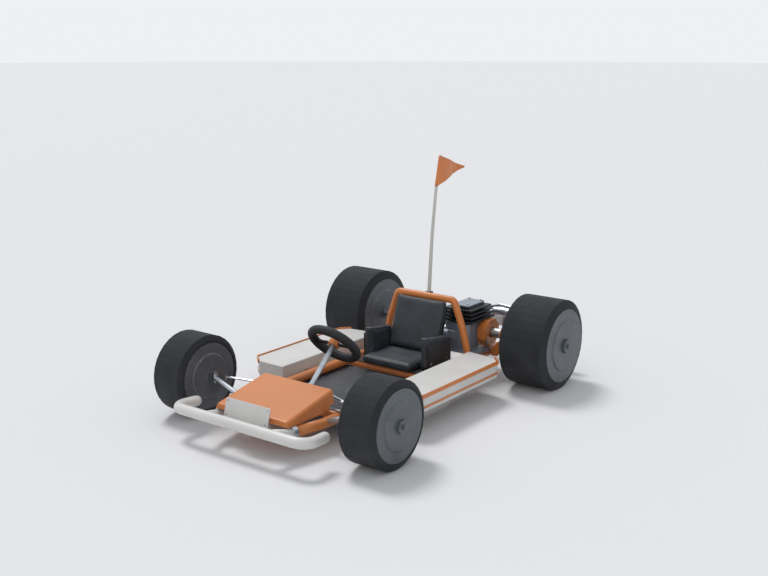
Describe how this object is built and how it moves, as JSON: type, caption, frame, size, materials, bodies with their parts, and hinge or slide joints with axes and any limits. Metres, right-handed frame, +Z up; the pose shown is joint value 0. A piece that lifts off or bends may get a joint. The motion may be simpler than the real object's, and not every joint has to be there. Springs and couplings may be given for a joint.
{
  "type": "racing kart",
  "caption": "Tube-framed racing kart with bucket seat, rear engine with chain drive, live rear axle, linked steering, side pods, nose cone and a pennant on a pole.",
  "frame": {"origin": "on the ground under the middle of the wheelbase, at the middle of the bounding box's base", "axes": "+Z up, the kart faces -Y, its own left side is +X"},
  "size_m": [1.39, 1.9339, 1.1215],
  "materials": {
    "orange_paint": "satin enamel",
    "white_paint": "satin enamel",
    "pan_paint": "satin",
    "tyre_rubber": "matte rubber",
    "rim_metal": "satin, dark",
    "chrome": "polished",
    "steel": "satin",
    "engine_casting": "as cast",
    "fin_black": "satin black",
    "seat_vinyl": "matte grained",
    "seat_shell": "matte",
    "pod_plastic": "satin",
    "nose_plastic": "satin",
    "grip_rubber": "matte",
    "pole_fibreglass": "satin",
    "flag_cloth": "woven"
  },
  "bodies": {
    "chassis": {"frame_rail_left": "orange_paint", "frame_rail_right": "orange_paint", "front_cross_tube": "orange_paint", "seat_cross_tube": "orange_paint", "rear_cross_tube": "orange_paint", "floor_pan": "pan_paint", "front_bumper": "white_paint", "rear_bumper": "white_paint", "nose_cone": "nose_plastic", "number_plate": "pod_plastic", "side_pod_left": "pod_plastic", "side_pod_right": "pod_plastic", "pod_top_trim_left": "nose_plastic", "pod_top_trim_right": "nose_plastic", "front_axle_arm_left": "chrome", "front_axle_arm_right": "chrome", "axle_hanger_left": "orange_paint", "axle_hanger_right": "orange_paint", "column_bracket": "orange_paint", "seat_pan": "seat_shell", "seat_base": "seat_vinyl", "seat_back": "seat_vinyl", "seat_bolster_left": "seat_vinyl", "seat_bolster_right": "seat_vinyl", "seat_hoop": "orange_paint", "flag_pole": "pole_fibreglass", "flag_clamp": "fin_black", "flag": "flag_cloth", "engine_plate": "engine_casting", "crankcase": "engine_casting", "cooling_fins": "fin_black", "cylinder_head": "engine_casting", "carburettor": "engine_casting", "exhaust_pipe": "chrome", "muffler": "engine_casting", "drive_chain": "steel", "brake_housing": "orange_paint"},
    "steering": {"steering_rim": "grip_rubber", "steering_hub": "orange_paint", "steering_column": "chrome"},
    "knuckle_left": {"steering_knuckle_left": "steel"},
    "knuckle_right": {"steering_knuckle_right": "steel"},
    "link_left": {"tie_rod_left": "chrome"},
    "link_right": {"tie_rod_right": "chrome"},
    "front_wheel_left": {"front_tyre_left": "tyre_rubber", "front_rim_left": "rim_metal"},
    "front_wheel_right": {"front_tyre_right": "tyre_rubber", "front_rim_right": "rim_metal"},
    "axle": {"rear_axle": "chrome", "rear_tyre_left": "tyre_rubber", "rear_tyre_right": "tyre_rubber", "rear_rim_left": "rim_metal", "rear_rim_right": "rim_metal", "axle_sprocket": "steel", "brake_drum": "steel"},
    "clutch": {"clutch_drum": "steel"},
    "pedal_brake": {"brake_pedal": "steel"},
    "pedal_throttle": {"throttle_pedal": "steel"},
    "rod_brake": {"brake_rod": "steel"},
    "lever_brake": {"brake_lever": "steel"}
  },
  "joints": [
    {"name": "steering_turn", "type": "hinge", "parent": "chassis", "child": "steering", "pos_m": [0, -0.2974, 0.3367], "axis": [0, 0.7314, 0.682], "range_deg": [-28, 28]},
    {"name": "knuckle_left_turn", "type": "hinge", "parent": "chassis", "child": "knuckle_left", "pos_m": [0.413, -0.65, 0.188], "axis": [0, 0, 1], "range_deg": [-14, 14]},
    {"name": "knuckle_right_turn", "type": "hinge", "parent": "chassis", "child": "knuckle_right", "pos_m": [-0.413, -0.65, 0.188], "axis": [0, 0, 1], "range_deg": [-14, 14]},
    {"name": "tie_rod_left_swing", "type": "hinge", "parent": "steering", "child": "link_left", "pos_m": [0, -0.43882, 0.15697], "axis": [0, 0.7314, 0.682], "range_deg": [-28, 28]},
    {"name": "tie_rod_right_swing", "type": "hinge", "parent": "steering", "child": "link_right", "pos_m": [0, -0.43882, 0.15697], "axis": [0, 0.7314, 0.682], "range_deg": [-28, 28]},
    {"name": "front_wheel_left_spin", "type": "hinge", "parent": "knuckle_left", "child": "front_wheel_left", "pos_m": [0.5378, -0.65, 0.188], "axis": [1, 0, 0], "continuous": true},
    {"name": "front_wheel_right_spin", "type": "hinge", "parent": "knuckle_right", "child": "front_wheel_right", "pos_m": [-0.5378, -0.65, 0.188], "axis": [1, 0, 0], "continuous": true},
    {"name": "rear_axle_spin", "type": "hinge", "parent": "chassis", "child": "axle", "pos_m": [0, 0.65, 0.2235], "axis": [1, 0, 0], "continuous": true},
    {"name": "clutch_spin", "type": "hinge", "parent": "chassis", "child": "clutch", "pos_m": [0.026, 0.56, 0.212], "axis": [1, 0, 0], "continuous": true},
    {"name": "brake_pedal_press", "type": "hinge", "parent": "chassis", "child": "pedal_brake", "pos_m": [0.125, -0.572, 0.148], "axis": [1, 0, 0], "range_deg": [0, 16], "stiffness_Nm_per_rad": 3, "springref_deg": -8.59},
    {"name": "throttle_pedal_press", "type": "hinge", "parent": "chassis", "child": "pedal_throttle", "pos_m": [-0.125, -0.572, 0.148], "axis": [1, 0, 0], "range_deg": [0, 16], "stiffness_Nm_per_rad": 2, "springref_deg": -8.59},
    {"name": "brake_rod_pull", "type": "slide", "parent": "chassis", "child": "rod_brake", "axis": [0, 1, 0], "range_m": [-0.0116, 0]},
    {"name": "brake_lever_swing", "type": "hinge", "parent": "chassis", "child": "lever_brake", "pos_m": [0.26775, 0.6, 0.2], "axis": [1, 0, 0], "range_deg": [-11.9, 0]}
  ],
  "couplings": [
    {"joint": "knuckle_left_turn", "follows": "steering_turn", "ratio": 0.5},
    {"joint": "knuckle_right_turn", "follows": "steering_turn", "ratio": 0.5},
    {"joint": "tie_rod_left_swing", "follows": "steering_turn", "ratio": -1},
    {"joint": "tie_rod_right_swing", "follows": "steering_turn", "ratio": -1},
    {"joint": "clutch_spin", "follows": "rear_axle_spin", "ratio": 2.75},
    {"joint": "brake_rod_pull", "follows": "brake_pedal_press", "m_per_rad": -0.04146},
    {"joint": "brake_lever_swing", "follows": "brake_pedal_press", "ratio": -0.7325}
  ]
}
